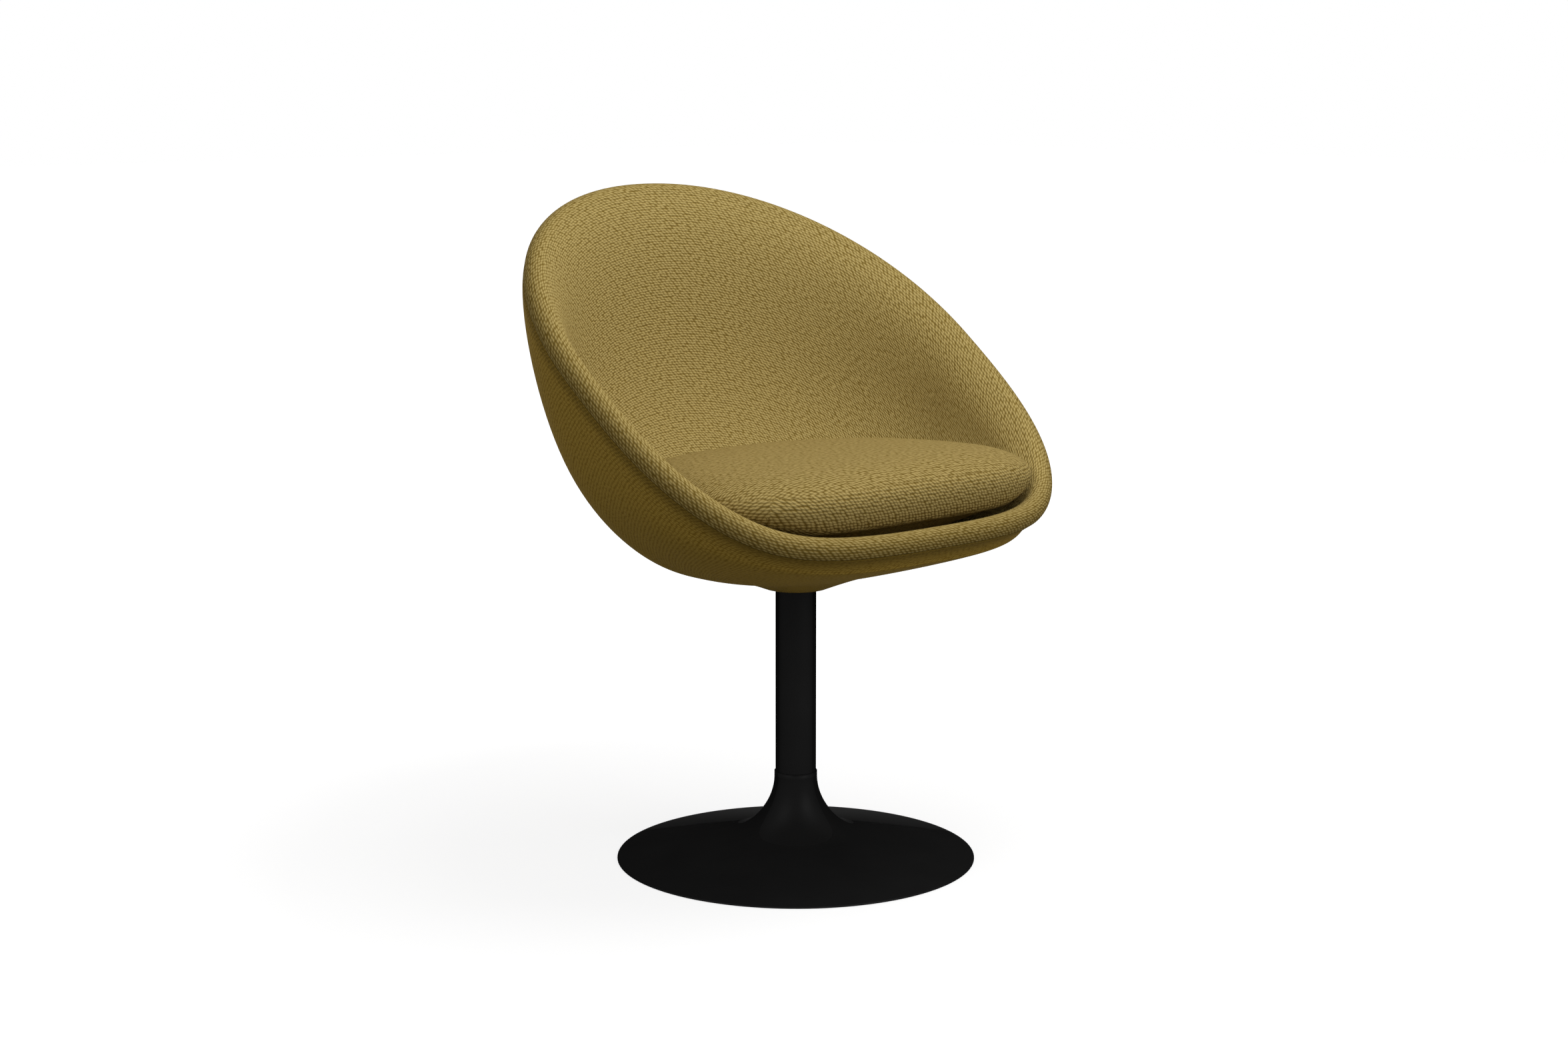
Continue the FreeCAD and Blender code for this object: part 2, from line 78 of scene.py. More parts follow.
CAMERA_PLACE = (-2192.7, -2330.7, 950.1)
CAMERA_TILT = math.radians(80.371)
CAMERA_TURN = math.radians(-43)
CAMERA_LENS = 63.0
CAMERA_SENSOR = 36.0
camera_data = bpy.data.cameras.new("camera")
camera_data.lens = CAMERA_LENS
camera_data.sensor_width = CAMERA_SENSOR
camera = new_object("camera", camera_data)
camera.location = Vector(CAMERA_PLACE) * MM
camera.rotation_euler = (CAMERA_TILT, 0, CAMERA_TURN)
bpy.context.scene.camera = camera
bpy.context.scene.view_settings.view_transform = "Standard"

FLOOR_COLOUR = "9A9A9A"
FLOOR_SIDE = 40.0
FLOOR_GLOW_NEAR = 0.73
FLOOR_GLOW_FAR = 1.0
FLOOR_NEAR = 0.6
FLOOR_FAR = 1.8
SKY_LIGHT = 0.32
WHITE = (1, 1, 1, 1)


def looked_at(tree):
    """1 where a surface is seen by the camera, through glass or in a gloss, and 0 where it lights."""
    rays = add_node(tree, "ShaderNodeLightPath").outputs
    seen = rays["Is Camera Ray"]
    for ray in ("Is Transmission Ray", "Is Glossy Ray"):
        either = add_node(tree, "ShaderNodeMath", {0: seen, 1: rays[ray]}, operation="MAXIMUM")
        seen = either.outputs[0]
    return seen


floor_mesh = bpy.data.meshes.new("studio_floor")
bm = bmesh.new()
bmesh.ops.create_grid(bm, x_segments=1, y_segments=1, size=FLOOR_SIDE / 2)
bm.to_mesh(floor_mesh)
bm.free()
floor = new_object("studio_floor", floor_mesh)

# Paper backdrop: matte, and white to the eye except for a faint grey round the chair's foot
paper = bpy.data.materials.new("pale_paper_floor")
paper.use_nodes = True
tree = paper.node_tree
tree.nodes.clear()
matt = add_node(tree, "ShaderNodeBsdfDiffuse", {"Color": linear(FLOOR_COLOUR)})
spot = add_node(tree, "ShaderNodeTexCoord").outputs["Object"]
away = add_node(tree, "ShaderNodeVectorMath", {0: spot}, operation="LENGTH").outputs["Value"]
fade = add_node(tree, "ShaderNodeMapRange", {
    "Value": away, "From Min": FLOOR_NEAR, "From Max": FLOOR_FAR,
    "To Min": FLOOR_GLOW_NEAR, "To Max": FLOOR_GLOW_FAR})
glow = add_node(tree, "ShaderNodeEmission", {"Strength": fade.outputs[0]})
both = add_node(tree, "ShaderNodeAddShader", {0: matt.outputs[0], 1: glow.outputs[0]})
paper_mix = add_node(tree, "ShaderNodeMixShader", {
    0: looked_at(tree), 1: matt.outputs[0], 2: both.outputs[0]})
add_node(tree, "ShaderNodeOutputMaterial", {"Surface": paper_mix.outputs[0]})
floor_mesh.materials.append(paper)

world = bpy.data.worlds.new("studio")
bpy.context.scene.world = world
world.use_nodes = True
tree = world.node_tree
tree.nodes.clear()
sky = add_node(tree, "ShaderNodeBackground", {"Color": WHITE, "Strength": SKY_LIGHT})
white = add_node(tree, "ShaderNodeBackground", {"Color": WHITE, "Strength": 1.0})
sky_mix = add_node(tree, "ShaderNodeMixShader", {
    0: looked_at(tree), 1: sky.outputs[0], 2: white.outputs[0]})
add_node(tree, "ShaderNodeOutputWorld", {"Surface": sky_mix.outputs[0]})

# Soft boxes: places in metres and powers in watts; all have one size and face the seat
SOFT_BOX_SIDE = 1.7
SOFT_BOX_AIM = Vector((0.0, 0.0, 0.5))
SOFT_BOXES = {
    "top_box": ((0.6, -0.5, 2.6), 35.0),
    "front_box": ((0.3, -2.8, 1.9), 30.0),
    "side_box": ((-1.9, 0.0, 2.3), 17.0),
    "back_box": ((0.9, 2.7, 1.3), 12.0),
}
for name, (place, power) in SOFT_BOXES.items():
    lamp = bpy.data.lights.new(name, "AREA")
    lamp.shape = "SQUARE"
    lamp.size = SOFT_BOX_SIDE
    lamp.energy = power
    holder = new_object(name, lamp)
    holder.location = place
    holder.rotation_euler = (SOFT_BOX_AIM - Vector(place)).to_track_quat("-Z", "Y").to_euler()


# The foot: a heavy steel disc on a rubber pad, both hidden by the spun cover except for a thin dark
# line at the floor. They are the CAD pieces with finishes of their own.

# Every plain finish has fine grain, whose colour also wanders in soft clouds about 56 mm wide
GRAIN_DETAIL = 3.0
CLOUD_MM = 55.56
CLOUD_DETAIL = 2.0


def new_material(name, inputs):
    """A material with its shader, whose plain values are set on the shader's own sockets."""
    material = bpy.data.materials.new(name)
    material.use_nodes = True
    tree = material.node_tree
    tree.nodes.clear()
    shader = add_node(tree, "ShaderNodeBsdfPrincipled", inputs)
    add_node(tree, "ShaderNodeOutputMaterial", {"Surface": shader.outputs[0]})
    return material, tree, shader


def dress(node_name, material):
    """Gives a CAD piece its finish."""
    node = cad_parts[node_name]
    node.data.materials.clear()
    node.data.materials.append(material)


def grained(name, colour, worn, grain_mm, bump_mm, inputs):
    """A plain finish with fine grain: its colour wanders a little and its surface is slightly rough."""
    material, tree, shader = new_material(name, inputs)
    where = add_node(tree, "ShaderNodeTexCoord").outputs["Object"]
    grain = add_node(tree, "ShaderNodeTexNoise", {
        "Vector": where, "Scale": 1 / (grain_mm * MM), "Detail": GRAIN_DETAIL}).outputs["Fac"]
    cloud = add_node(tree, "ShaderNodeTexNoise", {
        "Vector": where, "Scale": 1 / (CLOUD_MM * MM), "Detail": CLOUD_DETAIL}).outputs["Fac"]
    amount = add_node(tree, "ShaderNodeMath", {0: grain, 1: cloud}, operation="MULTIPLY")
    colours = add_node(tree, "ShaderNodeMix", {
        "Factor": amount.outputs[0], 6: linear(colour), 7: linear(worn)}, data_type="RGBA")
    bump = add_node(tree, "ShaderNodeBump", {
        "Height": grain, "Distance": bump_mm * MM, "Strength": 1.0})
    tree.links.new(colours.outputs[2], shader.inputs["Base Color"])
    tree.links.new(bump.outputs[0], shader.inputs["Normal"])
    return material


# Moulded rubber: matte, with a faint open grain
rubber = grained("moulded_rubber", "161616", "242424", grain_mm=1.2, bump_mm=0.05, inputs={
    "Roughness": 0.85, "IOR": 1.52})
# Zinc-plated steel: a cool, slightly cloudy metal from rolling and plating
plated_steel = grained("zinc_plated_steel", "B4B6BA", "D2D3D4", grain_mm=0.8, bump_mm=0.01, inputs={
    "Metallic": 1.0, "Roughness": 0.38})
dress("floor_pad", rubber)
dress("base_plate", plated_steel)


# The column: drawn steel tube with a lightly broken top edge, powder coated satin black. It is
# welded to the steel disc, and carries the plain bushes that the seat turns in.

COLUMN_RADIUS = 24.3
COLUMN_BORE = 21.8
COLUMN_EDGE = 0.6
COLUMN_EDGE_STEPS = 3
TURNED_STEPS = 128
MERGE_DISTANCE = 1e-6
SHARP_TURN = math.radians(40)


def turned_piece(name, outline, material):
    """A piece turned about the swivel axis from an open or closed wire in the XZ plane."""
    bmesh.ops.spin(outline, geom=outline.verts[:] + outline.edges[:], cent=(0, 0, 0),
                   axis=(0, 0, 1), angle=2 * math.pi, steps=TURNED_STEPS, use_merge=True)
    bmesh.ops.remove_doubles(outline, verts=outline.verts, dist=MERGE_DISTANCE)
    bmesh.ops.recalc_face_normals(outline, faces=outline.faces)
    mesh = bpy.data.meshes.new(name)
    outline.to_mesh(mesh)
    outline.free()
    mesh.shade_smooth()
    mesh.set_sharp_from_angle(angle=SHARP_TURN)
    mesh.materials.append(material)
    return new_object(name, mesh)


def wire(corners):
    """A wire of (radius, height) corners in millimetres, and its vertices."""
    outline = bmesh.new()
    verts = [outline.verts.new((radius * MM, 0, height * MM)) for radius, height in corners]
    for pair in zip(verts, verts[1:]):
        outline.edges.new(pair)
    return outline, verts


def round_corner(outline, corner, radius, turn, steps):
    """Rounds one corner of a wire to a true radius; turn is the change of direction there."""
    bmesh.ops.bevel(outline, geom=[corner], offset=radius * MM * math.tan(turn / 2),
                    offset_type="OFFSET", segments=steps, profile=0.5, affect="VERTICES", material=-1)


# Powder coat: satin black with a fine dark metal flake, which gives the soft highlight on the flare
powder_coat = grained("satin_powder_coat", "1B1B1B", "252525", grain_mm=0.9, bump_mm=0.012, inputs={
    "Metallic": 0.3, "Roughness": 0.4, "Specular IOR Level": 0.0, "Specular Tint": linear("000000")})
column_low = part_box("column_tube")[0].z / MM
column_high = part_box("column_tube")[1].z / MM
outline, corners = wire([
    (COLUMN_BORE, column_low), (COLUMN_RADIUS, column_low), (COLUMN_RADIUS, column_high),
    (COLUMN_BORE, column_high)])
outline.edges.new((corners[-1], corners[0]))
round_corner(outline, corners[2], COLUMN_EDGE, math.pi / 2, COLUMN_EDGE_STEPS)
column = turned_piece("column", outline, powder_coat)
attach(column, "base")
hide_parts("column_tube")


# The trumpet cover: thin steel, spun over a former from a slim neck to a low cone and hooked over
# the disc's edge. It slides down the column, and its neck shows as a fine step.

TRUMPET_RADIUS = 215.0
TRUMPET_WALL = 1.2
TRUMPET_FOOT = 0.5
TRUMPET_SLOPE = math.radians(12)
TRUMPET_EDGE_ROUND = 1.6
TRUMPET_EDGE_CENTRE = 0.8
TRUMPET_EDGE_STEPS = 8
TRUMPET_FLARE = 71.0
TRUMPET_FLARE_STEPS = 28
TRUMPET_NECK = 25.6
TRUMPET_TOP = 105.8
TO_THE_INSIDE = -1.0
cone_start = (TRUMPET_RADIUS - TRUMPET_EDGE_ROUND + TRUMPET_EDGE_ROUND * math.sin(TRUMPET_SLOPE),
              TRUMPET_EDGE_CENTRE + TRUMPET_EDGE_ROUND * math.cos(TRUMPET_SLOPE))
edge_drop = (TRUMPET_RADIUS - cone_start[0]) * math.tan(TRUMPET_SLOPE)
neck_climb = (cone_start[0] - TRUMPET_NECK) * math.tan(TRUMPET_SLOPE)
outline, corners = wire([
    (TRUMPET_RADIUS, TRUMPET_FOOT), (TRUMPET_RADIUS, cone_start[1] - edge_drop),
    (TRUMPET_NECK, cone_start[1] + neck_climb), (TRUMPET_NECK, TRUMPET_TOP)])
upright = math.pi / 2 - TRUMPET_SLOPE
round_corner(outline, corners[2], TRUMPET_FLARE, upright, TRUMPET_FLARE_STEPS)
round_corner(outline, corners[1], TRUMPET_EDGE_ROUND, upright, TRUMPET_EDGE_STEPS)
trumpet = turned_piece("trumpet", outline, powder_coat)
wall = trumpet.modifiers.new("wall", "SOLIDIFY")
wall.thickness = TRUMPET_WALL * MM
wall.offset = TO_THE_INSIDE
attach(trumpet, "base")
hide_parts("trumpet_cover")


# The swivel: nylon bushes and a thrust washer in the column's top, and a turned steel bar that
# stands in them, held by a nut from below. They stay the CAD pieces.

# Natural nylon: milky white, faintly mottled from moulding
nylon = grained("natural_nylon", "D9D8CF", "C9C8BE", grain_mm=1.5, bump_mm=0.01, inputs={
    "Roughness": 0.45, "IOR": 1.53})
for name in ("spindle_bushes", "thrust_washer"):
    dress(name, nylon)
for name in ("spindle", "retaining_nut", "plate_screws", "captive_nuts"):
    dress(name, plated_steel)
dress("seat_plate", powder_coat)


# The shell: a hard moulded tub that gives the chair its shape, with a moulded ring below it and a
# plastic strip on its rim that the covers are stapled to. Upholstery hides all three.

# Moulded plastic: black, with the light sparkle of a textured tool
shell_plastic = grained("moulded_black_plastic", "1C1C1C", "282828", grain_mm=0.7, bump_mm=0.02,
                        inputs={"Roughness": 0.55, "IOR": 1.49})
for name in ("moulded_shell", "hub_former", "tack_strip"):
    dress(name, shell_plastic)


# The tub's inner cover: one stretched panel of nubbly wool boucle over the seat, up the wall and
# round the rolled rim, over foam. It is stapled under the rim, where a dark seam shows.

SEAT_PLATE_TOP = 357.0
# The rim's centre line: rounder at the back than at the front, level at first and then climbing
RIM_HALF_WIDTH = 303.9
RIM_FRONT = -229.8
RIM_BACK = 271.4
RIM_WIDEST = 25.0
RIM_FRONT_RISE = 56.0
RIM_BACK_RISE = 425.5
RIM_KNEE = -212.3
RIM_KNEE_SOFTNESS = 15.6
RIM_BOW = 4.1
RIM_FRONT_SQUARENESS = 2.78
RIM_BACK_SQUARENESS = 2.07
RIM_STEP = 1e-3
SEARCH_REACH = 0.7
SEARCH_HALVINGS = 32
LIP_RADIUS = 14.2
SEAM_ANGLE = math.radians(-22)
SEAM_TUCK = 2.6
SEAM_TUCK_DROP = 0.9
# The seat and the wall; a pair holds the value at the front and the value at the back
SEAT_HEIGHT = 47.0
SEAT_MIDDLE_RADIUS = 60.0
SEAT_FLAT_RADIUS = 100.0
SEAT_EDGE_REACH = (0.813, 0.633)
WALL_REACH = (0.905, 0.885)
WALL_RISE = (55.0, 222.0)
THROAT_LENGTH = (14.0, 66.0)
# How far the throat turns in: at the front, and what the way back and its square add to that
THROAT_TURN = (math.radians(15), math.radians(81), math.radians(-38))
TUB_COLUMNS = 288
WALL_ROWS = 46
LIP_ROWS = 26
TUCK_ROWS = 3


def mix(front, back, share):
    return front + (back - front) * share


def signed_power(value, exponent):
    return math.copysign(abs(value) ** exponent, value)


def knee_ramp(distance):
    """Zero before the rim's knee and the distance past it after, with a soft bend between."""
    return RIM_KNEE_SOFTNESS * math.log1p(math.exp(distance / RIM_KNEE_SOFTNESS))


def rim_point(angle):
    """A point of the rim's centre line, and how steeply the rim climbs there."""
    c, s = math.cos(angle), math.sin(angle)
    squareness = RIM_FRONT_SQUARENESS if c > 0 else RIM_BACK_SQUARENESS
    x = RIM_HALF_WIDTH * signed_power(s, 2 / squareness)
    y = RIM_WIDEST + ((RIM_FRONT if c > 0 else RIM_BACK) - RIM_WIDEST) * abs(c) ** (2 / squareness)
    length = knee_ramp(RIM_BACK - RIM_KNEE)
    share = knee_ramp(y - RIM_KNEE) / length
    climb = RIM_BACK_RISE - RIM_FRONT_RISE
    z = SEAT_PLATE_TOP + RIM_FRONT_RISE + climb * share + 4 * RIM_BOW * share * (1 - share)
    past_knee = 1 + math.exp((RIM_KNEE - y) / RIM_KNEE_SOFTNESS)
    steepness = (climb + 4 * RIM_BOW * (1 - 2 * share)) / length / past_knee
    return Vector((x, y, z)), steepness


def rim_angle_at(plan_angle):
    """The rim's own angle at which it is seen from the swivel axis under a plan angle."""
    low, high = plan_angle - SEARCH_REACH, plan_angle + SEARCH_REACH
    for _ in range(SEARCH_HALVINGS):
        middle = (low + high) / 2
        point = rim_point(middle)[0]
        behind = (math.atan2(point.x, -point.y) - plan_angle + math.pi) % (2 * math.pi) - math.pi
        if behind < 0:
            low = middle
        else:
            high = middle
    return (low + high) / 2


class RimStation:
    """One station round the rim: its centre, its outward and upward directions, and its way back."""

    def __init__(self, plan_angle):
        angle = rim_angle_at(plan_angle)
        self.centre, steepness = rim_point(angle)
        along = rim_point(angle + RIM_STEP)[0] - rim_point(angle - RIM_STEP)[0]
        self.radial = Vector((math.sin(plan_angle), -math.cos(plan_angle), 0))
        self.up = Vector((0, -steepness, 1)).normalized()
        self.out = self.up.cross(along).normalized()
        if self.out.dot(self.radial) < 0:
            self.out = -self.out
        self.reach = math.hypot(self.centre.x, self.centre.y)
        self.back = (1 - math.cos(angle)) / 2

    def on_lip(self, angle, radius=LIP_RADIUS):
        outwards = self.out * (radius * math.cos(angle))
        return self.centre + outwards + self.up * (radius * math.sin(angle))

    def ring_point(self, radius, rise):
        return self.radial * radius + Vector((0, 0, SEAT_PLATE_TOP + rise))

    def leaving(self, turn):
        """Direction down from the lip, turned inwards."""
        return -self.up * math.cos(turn) - self.out * math.sin(turn)

    def mixed(self, pair):
        return mix(pair[0], pair[1], self.back)


SPLINE_KNOTS = [0, 0, 0, 0, 1 / 3, 2 / 3, 1, 1, 1, 1]


def spline_weight(pole, t, degree=3):
    """Weight of one pole of the section's cubic spline."""
    here, after = SPLINE_KNOTS[pole], SPLINE_KNOTS[pole + 1]
    if degree == 0:
        return 1.0 if here <= t < after or (t == 1 and here < t == after) else 0.0
    rise_end, fall_end = SPLINE_KNOTS[pole + degree], SPLINE_KNOTS[pole + degree + 1]
    weight = 0.0
    if rise_end > here:
        weight += (t - here) / (rise_end - here) * spline_weight(pole, t, degree - 1)
    if fall_end > after:
        weight += (fall_end - t) / (fall_end - after) * spline_weight(pole + 1, t, degree - 1)
    return weight


def spline_points(poles, count):
    """Points along a section's spline, from its first pole to its last."""
    points = []
    for row in range(count + 1):
        weights = [spline_weight(k, row / count) for k in range(len(poles))]
        points.append(sum((p * w for p, w in zip(poles, weights)), Vector((0, 0, 0))))
    return points


stations = [RimStation(2 * math.pi * k / TUB_COLUMNS) for k in range(TUB_COLUMNS)]


def inner_points(station):
    """From the middle of the seat out, up the wall, round the lip and into the seam."""
    turn = THROAT_TURN[0] + THROAT_TURN[1] * station.back + THROAT_TURN[2] * station.back ** 2
    throat = math.pi - turn
    start = station.on_lip(throat)
    wall_rows = spline_points([
        station.ring_point(SEAT_MIDDLE_RADIUS, SEAT_HEIGHT),
        station.ring_point(SEAT_FLAT_RADIUS, SEAT_HEIGHT),
        station.ring_point(station.reach * station.mixed(SEAT_EDGE_REACH), SEAT_HEIGHT),
        station.ring_point(station.reach * station.mixed(WALL_REACH), station.mixed(WALL_RISE)),
        start + station.leaving(turn) * station.mixed(THROAT_LENGTH),
        start,
    ], WALL_ROWS)
    lip_rows = [
        station.on_lip(mix(throat, SEAM_ANGLE, row / LIP_ROWS)) for row in range(1, LIP_ROWS + 1)
    ]
    into_seam = station.on_lip(SEAM_ANGLE, LIP_RADIUS - SEAM_TUCK) - lip_rows[-1]
    tuck_rows = []
    for row in range(1, TUCK_ROWS + 1):
        deep = row / TUCK_ROWS
        drop = station.leaving(0) * (SEAM_TUCK_DROP * deep ** 0.5)
        tuck_rows.append(lip_rows[-1] + into_seam * deep + drop)
    return [station.ring_point(0, SEAT_HEIGHT)] + wall_rows + lip_rows + tuck_rows


def wrapped_sheet(name, sections, material):
    """A sheet with one column of points per station, closed round the chair.

    Its UV map holds real lengths: along the rim, and down the section from its last point.
    """
    columns, rows = len(sections), len(sections[0]) - 1
    along = [0.0]
    for k in range(columns):
        step = stations[(k + 1) % columns].centre - stations[k].centre
        along.append(along[-1] + step.length)
    down = []
    for section in sections:
        lengths = [0.0]
        for near, far in zip(section[::-1], section[-2::-1]):
            lengths.append(lengths[-1] + (far - near).length)
        down.append(lengths[::-1])
    sheet = bmesh.new()
    weave = sheet.loops.layers.uv.new("weave")
    half = 0.5
    bmesh.ops.create_grid(sheet, x_segments=columns, y_segments=rows, size=half)
    places = {
        vert: (round((vert.co.x + half) * columns), round((vert.co.y + half) * rows))
        for vert in sheet.verts
    }
    for face in sheet.faces:
        for loop in face.loops:
            column, row = places[loop.vert]
            loop[weave].uv = (along[column] * MM, down[column % columns][row] * MM)
    for vert, (column, row) in places.items():
        vert.co = sections[column % columns][row] * MM
    bmesh.ops.remove_doubles(sheet, verts=sheet.verts, dist=MERGE_DISTANCE)
    bmesh.ops.recalc_face_normals(sheet, faces=sheet.faces)
    mesh = bpy.data.meshes.new(name)
    sheet.to_mesh(mesh)
    sheet.free()
    mesh.shade_smooth()
    mesh.materials.append(material)
    return new_object(name, mesh)


WOOL = {"Roughness": 0.95, "IOR": 1.45, "Specular IOR Level": 0.06}
# The rows wander by up to a quarter of a loop within 14 mm, and loops lean by half their length
NOISE_MIDDLE = (0.5, 0.5, 0.5)
ROW_WANDER = (0.5, 0.5, 0.5)
ROW_WANDER_MM = 14.0
ROW_WANDER_DETAIL = 2.0
LOOP_LEAN = (0.5, 0, 0)
LOOP_UNEVENNESS = 0.35
LOOP_SOFTNESS = 0.25
LOOP_CROWN = 0.05
LOOP_FOOT = 0.72
FIBRES_PER_LOOP = 2.6
FIBRE_DETAIL = 3.0
FIBRE_RELIEF = 0.3
# Painted shade near a sheet's sewn edge, at the seam: at its fullest it takes most of a gap and half of
# a loop
SEAM_SHADE_FULL = 0.15
SEAM_SHADE_IN_GAPS = 0.95
SEAM_SHADE_ON_LOOPS = 0.5
SEAM_SHADE_COLOUR = "5A4716"


def boucle(name, colour, shade, glint, loop_mm, depth_mm, seam_shade_mm=None):
    """Woven wool boucle: rows of short slanted loops, with painted shade in the gaps between them and a
    painted glint on their tops.

    Near the sheet's sewn edge, over the given distance, painted shade darkens it, most in the gaps
    between the loops.
    """
    material, tree, shader = new_material(name, WOOL)
    weave = add_node(tree, "ShaderNodeTexCoord").outputs["UV"]
    wander = add_node(tree, "ShaderNodeTexNoise", {
        "Vector": weave, "Scale": 1 / (ROW_WANDER_MM * MM), "Detail": ROW_WANDER_DETAIL})
    drift = add_node(tree, "ShaderNodeVectorMath", {
        0: wander.outputs["Color"], 1: NOISE_MIDDLE}, operation="SUBTRACT")
    rows = add_node(tree, "ShaderNodeVectorMath", {
        0: weave, 1: (1 / (loop_mm[0] * MM), 1 / (loop_mm[1] * MM), 1)}, operation="MULTIPLY")
    drifted = add_node(tree, "ShaderNodeVectorMath", {
        0: drift.outputs[0], 1: ROW_WANDER, 2: rows.outputs[0]}, operation="MULTIPLY_ADD").outputs[0]
    row = add_node(tree, "ShaderNodeSeparateXYZ", {0: drifted}).outputs["Y"]
    slanted = add_node(tree, "ShaderNodeVectorMath", {
        0: row, 1: LOOP_LEAN, 2: drifted}, operation="MULTIPLY_ADD").outputs[0]
    loops = add_node(tree, "ShaderNodeTexVoronoi", {
        "Vector": slanted, "Scale": 1.0, "Randomness": LOOP_UNEVENNESS, "Smoothness": LOOP_SOFTNESS},
        voronoi_dimensions="2D", feature="SMOOTH_F1")
    height = add_node(tree, "ShaderNodeMapRange", {
        "Value": loops.outputs["Distance"], "From Min": LOOP_CROWN, "From Max": LOOP_FOOT,
        "To Min": 1.0, "To Max": 0.0}, interpolation_type="SMOOTHSTEP").outputs[0]
    fibres = add_node(tree, "ShaderNodeTexNoise", {
        "Vector": slanted, "Scale": FIBRES_PER_LOOP, "Detail": FIBRE_DETAIL}).outputs["Fac"]
    relief = add_node(tree, "ShaderNodeMath", {
        0: fibres, 1: FIBRE_RELIEF, 2: height}, operation="MULTIPLY_ADD")
    bump = add_node(tree, "ShaderNodeBump", {
        "Height": relief.outputs[0], "Distance": depth_mm * MM, "Strength": 1.0})
    # Painted shade: the colour darkens from the loops' tops into the gaps between them
    deep = add_node(tree, "ShaderNodeMix", {
        "Factor": height, 6: linear(shade), 7: linear(colour)}, data_type="RGBA")
    # Painted highlight: the glint colour on the fibres of the loops' tops
    lit = add_node(tree, "ShaderNodeMath", {0: fibres, 1: height}, operation="MULTIPLY")
    finish = add_node(tree, "ShaderNodeMix", {
        "Factor": lit.outputs[0], 6: deep.outputs[2], 7: linear(glint)}, data_type="RGBA")
    # Painted shade towards the sheet's sewn edge at the seam, most in the gaps between the loops
    if seam_shade_mm:
        edge = add_node(tree, "ShaderNodeSeparateXYZ", {0: weave}).outputs["Y"]
        seam_shade_fade = add_node(tree, "ShaderNodeMapRange", {
            "Value": edge, "From Min": SEAM_SHADE_FULL * seam_shade_mm * MM, "From Max": seam_shade_mm * MM,
            "To Min": SEAM_SHADE_IN_GAPS, "To Max": 0.0}, interpolation_type="SMOOTHSTEP")
        gaps = add_node(tree, "ShaderNodeMapRange", {
            "Value": height, "To Min": 1.0, "To Max": SEAM_SHADE_ON_LOOPS})
        seam_shade_share = add_node(tree, "ShaderNodeMath", {
            0: seam_shade_fade.outputs[0], 1: gaps.outputs[0]}, operation="MULTIPLY")
        finish = add_node(tree, "ShaderNodeMix", {
            "Factor": seam_shade_share.outputs[0], 6: finish.outputs[2], 7: linear(SEAM_SHADE_COLOUR)},
            data_type="RGBA")
    tree.links.new(finish.outputs[2], shader.inputs["Base Color"])
    tree.links.new(bump.outputs[0], shader.inputs["Normal"])
    return material


# Boucle on the tub: olive mustard wool, long slanted loops in rows 3 mm apart that follow the rim
# Its painted shade near the seam reaches over the lip's outer side
inner_boucle = boucle("olive_boucle_in_rows", colour="B19C5C", shade="745E26", glint="C0AB73",
                      loop_mm=(6.2, 3.1), depth_mm=0.6, seam_shade_mm=48.0)
inner_cover = wrapped_sheet("tub_inner_cover", [inner_points(s) for s in stations], inner_boucle)
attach(inner_cover, "seat")
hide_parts("inner_cover", "inner_foam")


# The tub's outer cover: a second panel of the same cloth pulled down over the shell from the seam
# to the hub, where it turns in under the moulded ring. It lies flatter, because it has no foam.

HUB_RADIUS = 39.0
HUB_DROP = 27.0
HUB_FLANK_RADIUS = 96.0
HUB_FLANK_DROP = 4.0
# Inside the hub's opening: how far in and how far up the cloth's last two rows lie
HUB_TUCK = ((2.4, 3.84), (1.92, 0.72))
# The belly, haunch and shoulder of the section; a pair holds the front's value and the back's
BELLY_REACH = 0.50
BELLY_RISE = (-3.0, -25.0)
HAUNCH_REACH = (1.057, 0.932)
HAUNCH_RISE = (36.0, 148.0)
SHOULDER_LENGTH = (37.6, 25.4)
SHOULDER_TURN = (math.radians(43), math.radians(-1.3))
SHOULDER_HASTE = 0.8
OUTER_SEAM_DROP = 1.4
OUTER_SEAM_BEND = 0.8
OUTER_ROWS = 52


def outer_points(station):
    """From inside the hub's opening out under the seat and up into the seam."""
    seam = station.on_lip(SEAM_ANGLE)
    turn = mix(*SHOULDER_TURN, station.back ** SHOULDER_HASTE)
    wall_rows = spline_points([
        station.ring_point(HUB_RADIUS, -HUB_DROP),
        station.ring_point(HUB_FLANK_RADIUS, -HUB_FLANK_DROP),
        station.ring_point(BELLY_REACH * station.reach, station.mixed(BELLY_RISE)),
        station.ring_point(station.reach * station.mixed(HAUNCH_REACH), station.mixed(HAUNCH_RISE)),
        seam + station.leaving(turn) * station.mixed(SHOULDER_LENGTH),
        seam,
    ], OUTER_ROWS)
    hub_rows = [station.ring_point(HUB_RADIUS - inwards, up - HUB_DROP) for inwards, up in HUB_TUCK]
    tucked = station.on_lip(SEAM_ANGLE, LIP_RADIUS - SEAM_TUCK) + station.leaving(0) * OUTER_SEAM_DROP
    lowered = mix(wall_rows[-2], wall_rows[-1], OUTER_SEAM_BEND)
    return hub_rows + wall_rows[:-1] + [lowered, (lowered + tucked) / 2, tucked]


# Boucle pulled flat: the same wool with its loops pressed down, which leaves it smoother.
# Its darker, more saturated colours are painted shade for the tub's dim outside, and it darkens below
# the seam as painted shade too.
outer_boucle = boucle("olive_boucle_pulled_flat", colour="90752F", shade="705719", glint="9E833D",
                      loop_mm=(5.0, 3.2), depth_mm=0.35, seam_shade_mm=24.0)
outer_cover = wrapped_sheet("tub_outer_cover", [outer_points(s) for s in stations], outer_boucle)
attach(outer_cover, "seat")
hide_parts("outer_cover")


